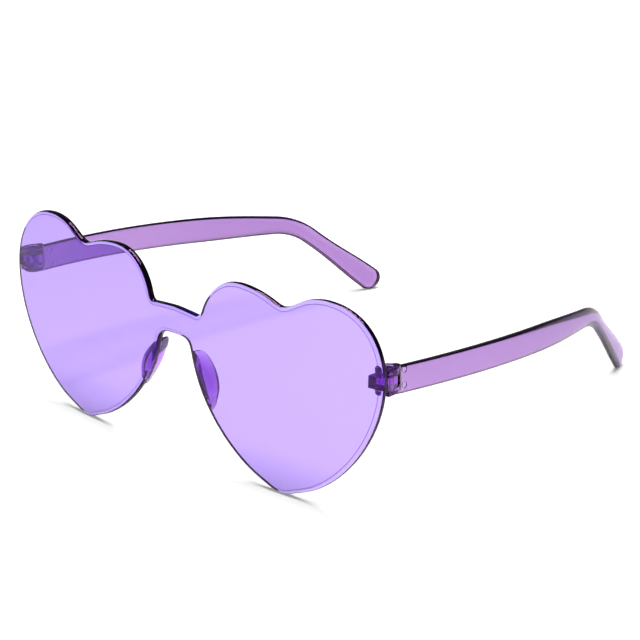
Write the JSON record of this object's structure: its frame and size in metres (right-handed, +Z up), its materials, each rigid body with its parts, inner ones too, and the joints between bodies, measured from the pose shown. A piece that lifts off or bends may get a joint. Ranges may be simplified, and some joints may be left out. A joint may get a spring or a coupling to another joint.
{
  "type": "folding sunglasses",
  "caption": "Rimless one-piece heart shaped sunglasses of clear violet plastic, with bonded nose pads and two folding arms on pin hinges.",
  "frame": {"origin": "on the surface that the open glasses stand on, under the middle of their bounding box", "axes": "+X toward the wearer's left, across the shield; +Y from the shield back to the ears; +Z up"},
  "size_m": [0.148, 0.1422, 0.0587],
  "materials": {
    "shield": "clear violet, polished",
    "pads": "clear deep violet, glossy",
    "hinge_blocks": "clear deep violet, glossy",
    "arms": "clear violet, glossy",
    "pins": "clear violet, glossy"
  },
  "bodies": {
    "front": {"lens_shield": "shield", "nose_pad_left": "pads", "nose_pad_right": "pads", "hinge_block_left": "hinge_blocks", "hinge_block_right": "hinge_blocks"},
    "arm_left": {"temple_left": "arms", "hinge_pin_left": "pins"},
    "arm_right": {"temple_right": "arms", "hinge_pin_right": "pins"}
  },
  "joints": [
    {"name": "left_hinge", "type": "hinge", "parent": "front", "child": "arm_left", "pos_m": [0.0712, -0.06053, 0.03958], "axis": [0, 0, 1], "range_deg": [0, 82]},
    {"name": "right_hinge", "type": "hinge", "parent": "front", "child": "arm_right", "pos_m": [-0.0712, -0.06053, 0.03958], "axis": [0, 0, -1], "range_deg": [0, 78]}
  ]
}
